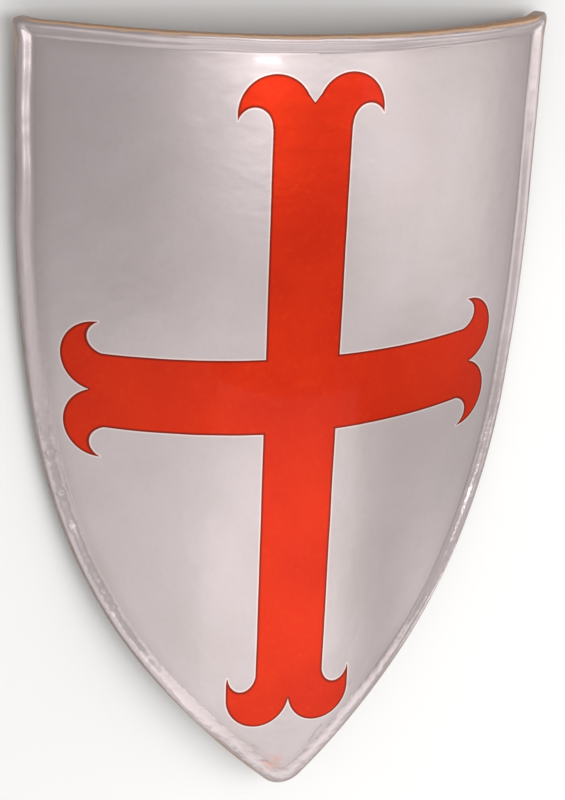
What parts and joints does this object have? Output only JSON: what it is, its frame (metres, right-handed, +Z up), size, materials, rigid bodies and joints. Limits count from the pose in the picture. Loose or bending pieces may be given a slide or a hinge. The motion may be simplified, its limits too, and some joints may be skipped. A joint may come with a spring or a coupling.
{
  "type": "wooden heater shield",
  "caption": "Curved wooden heater shield with a rolled leather edging, a painted cross with split ends, and an arm strap and a hand strap behind.",
  "frame": {"origin": "middle of the lying shield's box, on the surface it lies on", "axes": "+Y from the tip towards the top edge, +Z up out of the painted face, +X across to the viewer's right"},
  "size_m": [0.5262, 0.7748, 0.0912],
  "materials": {
    "painted_wood": "gloss pale grey paint with a red cross on the face, oiled plain wood behind",
    "painted_edging": "gloss pale paint over folded hide, worn to tan at the outer edge",
    "strap_leather": "brown vegetable-tanned leather, satin, creased",
    "rivet_iron": "dark hammered iron"
  },
  "bodies": {
    "root": {"board": "painted_wood", "rim_binding": "painted_edging", "arm_strap": "strap_leather", "hand_strap": "strap_leather", "strap_rivet_1": "rivet_iron", "strap_rivet_2": "rivet_iron", "strap_rivet_3": "rivet_iron", "strap_rivet_4": "rivet_iron", "strap_rivet_5": "rivet_iron", "strap_rivet_6": "rivet_iron", "strap_rivet_7": "rivet_iron", "strap_rivet_8": "rivet_iron"}
  },
  "joints": []
}
